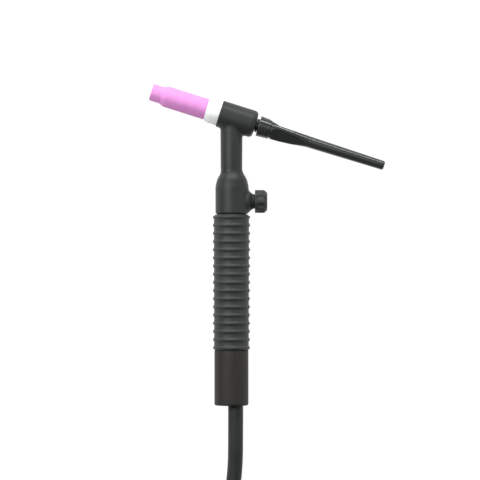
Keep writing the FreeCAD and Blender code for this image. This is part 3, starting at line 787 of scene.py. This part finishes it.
cap_phenolic = phenolic()
shown(
    "back_cap_moulded",
    turned(CAP_OUTLINE, crossing, toward_nozzle, above_head, closed=False, sides=216,
           shape=cap_rule, longest=0.9),
    cap_phenolic, "cap_screw", "cap_phenolic", "back_cap")
shown(
    "back_cap_spigot",
    turned([(-11.5, 2.0, 0.3), (-11.5, 5.3, 0.3), (-12.2, CAP_THREAD_R, 0.2),
            (-20.9, CAP_THREAD_R, 0.0), (-21.35, CAP_THREAD_R, 0.15), (-21.35, 3.85, 0.0),
            (-23.45, 3.85, 0.0), (-23.45, 2.0, 0.0)],
           crossing, toward_nozzle, above_head, sides=112, shape=cap_thread, longest=0.16),
    cap_phenolic, "cap_screw", "cap_phenolic", "back_cap")


# ---- Valve knob ----
# Small knob moulded in black plastic, with flutes round its rim. It sits on the drive end
# of the brass stem, and a slotted screw in its end holds it there.
FLUTES = 8
FLUTE_R = 3.2
FLUTE_CENTRE_R = 11.5
FLUTE_START, FLUTE_END, FLUTE_RUNOUT = 20.9, 27.4, 0.8


def fluted(along, angle, radius):
    """Shallow flutes round the knob's rim, which stop short of both its ends."""
    off = angle % (2 * math.pi / FLUTES) - math.pi / FLUTES
    reach = FLUTE_CENTRE_R * math.sin(off)
    if radius < 8.5 or abs(reach) >= FLUTE_R:
        return radius
    depth = max(0.0, radius - FLUTE_CENTRE_R * math.cos(off) + math.sqrt(FLUTE_R ** 2 - reach ** 2))
    inside = min(1.0, max(0.0, (along - FLUTE_START) / FLUTE_RUNOUT),
                 max(0.0, (FLUTE_END - along) / FLUTE_RUNOUT))
    return radius - depth * inside


shown(
    "gas_valve_knob",
    turned([(19.5, 3.1, 0.2), (19.5, 9.5, 0.5), (27.3, 9.5, 0.5), (29.7, 7.3, 0.5),
            (29.7, 3.3, 0.3), (27.0, 3.3, 0.0), (27.0, 1.5, 0.0), (24.45, 1.5, 0.0),
            (24.45, 2.4, 0.0), (20.0, 2.4, 0.0), (20.0, 3.1, 0.0)],
           valve_point, X_WAY, Y_WAY, sides=192, shape=fluted, longest=0.4),
    moulded_black("knob plastic", (0.032, 0.034, 0.033), (0.042, 0.044, 0.043), 0.38),
    "knob_screwing", "knob_plastic", "valve_knob")


# ---- Ribbed grip ----
# Rubber tube with seventeen rounded ribs, pushed over the body's spigot. The ribs stand on
# a plain moulded tube and are hollowed between, all by one rule along its length.
def rib_rule():
    """Geometry nodes that raise the ribs: each point of the outer skin moves away from the
    handle's axis by how near it lies to a rib's crest."""
    tree = bpy.data.node_groups.new("raise ribs", "GeometryNodeTree")
    tree.interface.new_socket("Tube", in_out="INPUT", socket_type="NodeSocketGeometry")
    for name in ("Axis X", "Axis Z", "First Rib", "Pitch", "Last Rib", "Height",
                 "Skin Radius"):
        tree.interface.new_socket(name, in_out="INPUT", socket_type="NodeSocketFloat")
    tree.interface.new_socket("Rubber", in_out="INPUT", socket_type="NodeSocketMaterial")
    tree.interface.new_socket("Grip", in_out="OUTPUT", socket_type="NodeSocketGeometry")
    given = tree.nodes.new("NodeGroupInput").outputs

    def node(kind, sockets, **settings):
        made = tree.nodes.new(kind)
        for name, value in settings.items():
            setattr(made, name, value)
        for name, value in sockets.items():
            if isinstance(value, bpy.types.NodeSocket):
                tree.links.new(value, made.inputs[name])
            else:
                made.inputs[name].default_value = value
        return made.outputs

    def sum_of(operation, first, second=0.0):
        return node("ShaderNodeMath", {0: first, 1: second}, operation=operation)[0]

    here = node("ShaderNodeSeparateXYZ", {0: node("GeometryNodeInputPosition", {})[0]})
    out_x = sum_of("SUBTRACT", here["X"], given["Axis X"])
    out_z = sum_of("SUBTRACT", here["Z"], given["Axis Z"])
    radius = sum_of("SQRT", sum_of("ADD", sum_of("MULTIPLY", out_x, out_x),
                                   sum_of("MULTIPLY", out_z, out_z)))
    from_first = sum_of("SUBTRACT", given["First Rib"], here["Y"])
    in_ribs = sum_of("ROUND", sum_of("DIVIDE", from_first, given["Pitch"]))
    rib_level = sum_of("MULTIPLY", in_ribs, given["Pitch"])
    nearest = sum_of("MINIMUM", sum_of("MAXIMUM", rib_level, 0.0), given["Last Rib"])
    away = sum_of("ABSOLUTE", sum_of("SUBTRACT", from_first, nearest))
    half_pitch = sum_of("MULTIPLY", given["Pitch"], 0.5)
    near = sum_of("MAXIMUM", sum_of("SUBTRACT", 1.0, sum_of("DIVIDE", away, half_pitch)), 0.0)
    crest = node("ShaderNodeFloatCurve", {"Value": near})[0]
    crest_curve = crest.node.mapping.curves[0]
    for at, level in ((0.36, 0.03), (0.54, 0.18), (0.72, 0.60), (0.87, 0.93)):
        crest_curve.points.new(at, level)
    crest.node.mapping.update()
    lift = sum_of("MULTIPLY", crest, given["Height"])
    outward = node("ShaderNodeCombineXYZ", {"X": sum_of("DIVIDE", out_x, radius), "Y": 0.0,
                                            "Z": sum_of("DIVIDE", out_z, radius)})[0]
    move = node("ShaderNodeVectorMath", {0: outward, "Scale": lift}, operation="SCALE")[0]
    on_skin = node("FunctionNodeCompare", {0: radius, 1: given["Skin Radius"]},
                   data_type="FLOAT", operation="GREATER_THAN")[0]
    raised = node("GeometryNodeSetPosition",
                  {"Geometry": given["Tube"], "Selection": on_skin, "Offset": move})[0]
    plain = node("GeometryNodeRealizeInstances", {0: raised})[0]
    finished = node("GeometryNodeSetMaterial", {"Geometry": plain, "Material": given["Rubber"]})[0]
    tree.links.new(finished, tree.nodes.new("NodeGroupOutput").inputs[0])
    return tree


RIB_COUNT = 17
RIB_PITCH = 6.78 * MM
RIB_HEIGHT = 0.98 * MM
FIRST_RIB = 82.7 * MM       # down from the crossing
RIBBED_SKIN_R = 14.0 * MM   # what lies farther out is raised
grip_rubber = moulded_black("grip rubber", (0.040, 0.044, 0.044), (0.053, 0.056, 0.055),
                            0.36, gloss=0.16)
grip_tube = turned(
    [(80.6, 11.4, 0.0), (80.6, 13.4, 0.4), (82.4, 14.6, 0.8), (192.6, 14.4, 0.6),
     (193.3, 13.6, 0.2), (193.3, 12.6, 0.0), (203.3, 12.6, 0.3), (203.3, 10.6, 0.0),
     (95.0, 10.6, 0.0), (95.0, 11.4, 0.0)],
    crossing, down_handle, X_WAY, sides=112, longest=0.40)
plain_grip = bpy.data.objects.new("plain grip", grip_tube)
scene.collection.objects.link(plain_grip)
ribs = plain_grip.modifiers.new("ribs", "NODES")
ribs.node_group = rib_rule()
rib_sizes = {
    "Axis X": crossing.x, "Axis Z": crossing.z, "First Rib": crossing.y - FIRST_RIB,
    "Pitch": RIB_PITCH, "Last Rib": RIB_PITCH * (RIB_COUNT - 1), "Height": RIB_HEIGHT,
    "Skin Radius": RIBBED_SKIN_R, "Rubber": grip_rubber,
}
for entry in ribs.node_group.interface.items_tree:
    if entry.in_out == "INPUT" and entry.name in rib_sizes:
        ribs[entry.identifier] = rib_sizes[entry.name]
grip_mesh = bpy.data.meshes.new_from_object(
    plain_grip.evaluated_get(bpy.context.evaluated_depsgraph_get()))
bpy.data.objects.remove(plain_grip)
shown("ribbed_rubber_grip", grip_mesh, grip_rubber, "torch", "grip_rubber", "ribbed_grip")


# ---- Rear sleeve ----
# Smooth black plastic cover pushed on the grip's tail, over the cable joint. Its mouth is
# turned in towards the cable.
def sleeve_plastic():
    """Matt plastic, faintly brown, with drawn-out flow marks along the sleeve."""
    plastic = Finish("sleeve plastic", Specular_IOR_Level=0.22)
    drawn = plastic.node("ShaderNodeMapping", {}, {"Vector": plastic.place,
                                                   "Scale": (1.0, 0.12, 1.0)})["Vector"]
    flow = plastic.noise(210.0, 4.0, drawn)
    grain = plastic.noise(1500.0, 2.0)
    scuff = plastic.band(plastic.noise(260.0, 6.0), 0.63, 0.75)
    plastic.colour(plastic.tint(plastic.band(flow, 0.3, 0.7) * 0.7 + scuff * 0.3,
                                (0.025, 0.023, 0.022), (0.037, 0.033, 0.031)))
    plastic.roughness(plastic.band(flow, 0.3, 0.7, 0.48, 0.60) - scuff * 0.08)
    plastic.relief(grain * 0.6 + flow, 0.00004)
    return plastic.material


shown(
    "handle_rear_sleeve",
    turned([(193.3, 12.6, 0.0), (193.3, 14.15, 0.45), (239.1, 14.15, 3.9), (239.1, 10.2, 0.4),
            (236.5, 10.2, 0.3), (234.5, 11.6, 0.3), (203.3, 11.6, 0.0), (203.3, 12.6, 0.0)],
           crossing, down_handle, X_WAY, sides=128, longest=6.0),
    sleeve_plastic(), "torch", "sleeve_plastic", "rear_sleeve")


# ---- Inner fittings ----
# Turned brass, copper and tungsten parts inside the head, the valve and the handle, and the
# rubber seals. They show only where a part is drawn out or looked at from its open end.
def seal_rubber():
    """Black nitrile of the O-rings, with an oily sheen."""
    seal = Finish("seal rubber", Specular_IOR_Level=0.5)
    wear = seal.noise(500.0, 3.0)
    seal.colour(seal.tint(wear, (0.012, 0.012, 0.013), (0.026, 0.026, 0.027)))
    seal.roughness(seal.band(wear, 0.3, 0.7, 0.24, 0.38))
    seal.relief(wear, 0.00002)
    return seal.material


def dressed(material, *names):
    """Gives CAD nodes their finish."""
    for name in names:
        for holder in frame["nodes"][name].material_slots:
            holder.material = material


dressed(turned_metal("head brass", (0.74, 0.52, 0.22), (0.46, 0.31, 0.13), toward_nozzle),
        "head_tube", "collet_body")
dressed(turned_metal("collet copper", (0.78, 0.40, 0.27), (0.50, 0.24, 0.15), toward_nozzle),
        "collet")
dressed(turned_metal("ground tungsten", (0.62, 0.62, 0.63), (0.38, 0.38, 0.40),
                     toward_nozzle, 0.24),
        "tungsten_electrode")
dressed(turned_metal("handle brass", (0.72, 0.50, 0.21), (0.45, 0.30, 0.13), down_handle),
        "neck_tube", "valve_block", "tail_tube", "inlet_nut", "inlet_nipple")
dressed(turned_metal("inlet copper", (0.72, 0.36, 0.22), (0.42, 0.20, 0.12), down_handle, 0.34),
        "inlet_ferrule")
dressed(turned_metal("valve brass", (0.76, 0.54, 0.24), (0.50, 0.34, 0.15), X_WAY),
        "valve_stem", "valve_gland")
dressed(turned_metal("screw steel", (0.60, 0.60, 0.61), (0.34, 0.33, 0.32), X_WAY, 0.28),
        "knob_screw")
dressed(seal_rubber(), "cap_o_ring", "stem_o_ring")
dressed(cable_line.materials[0], "cable_in_handle")
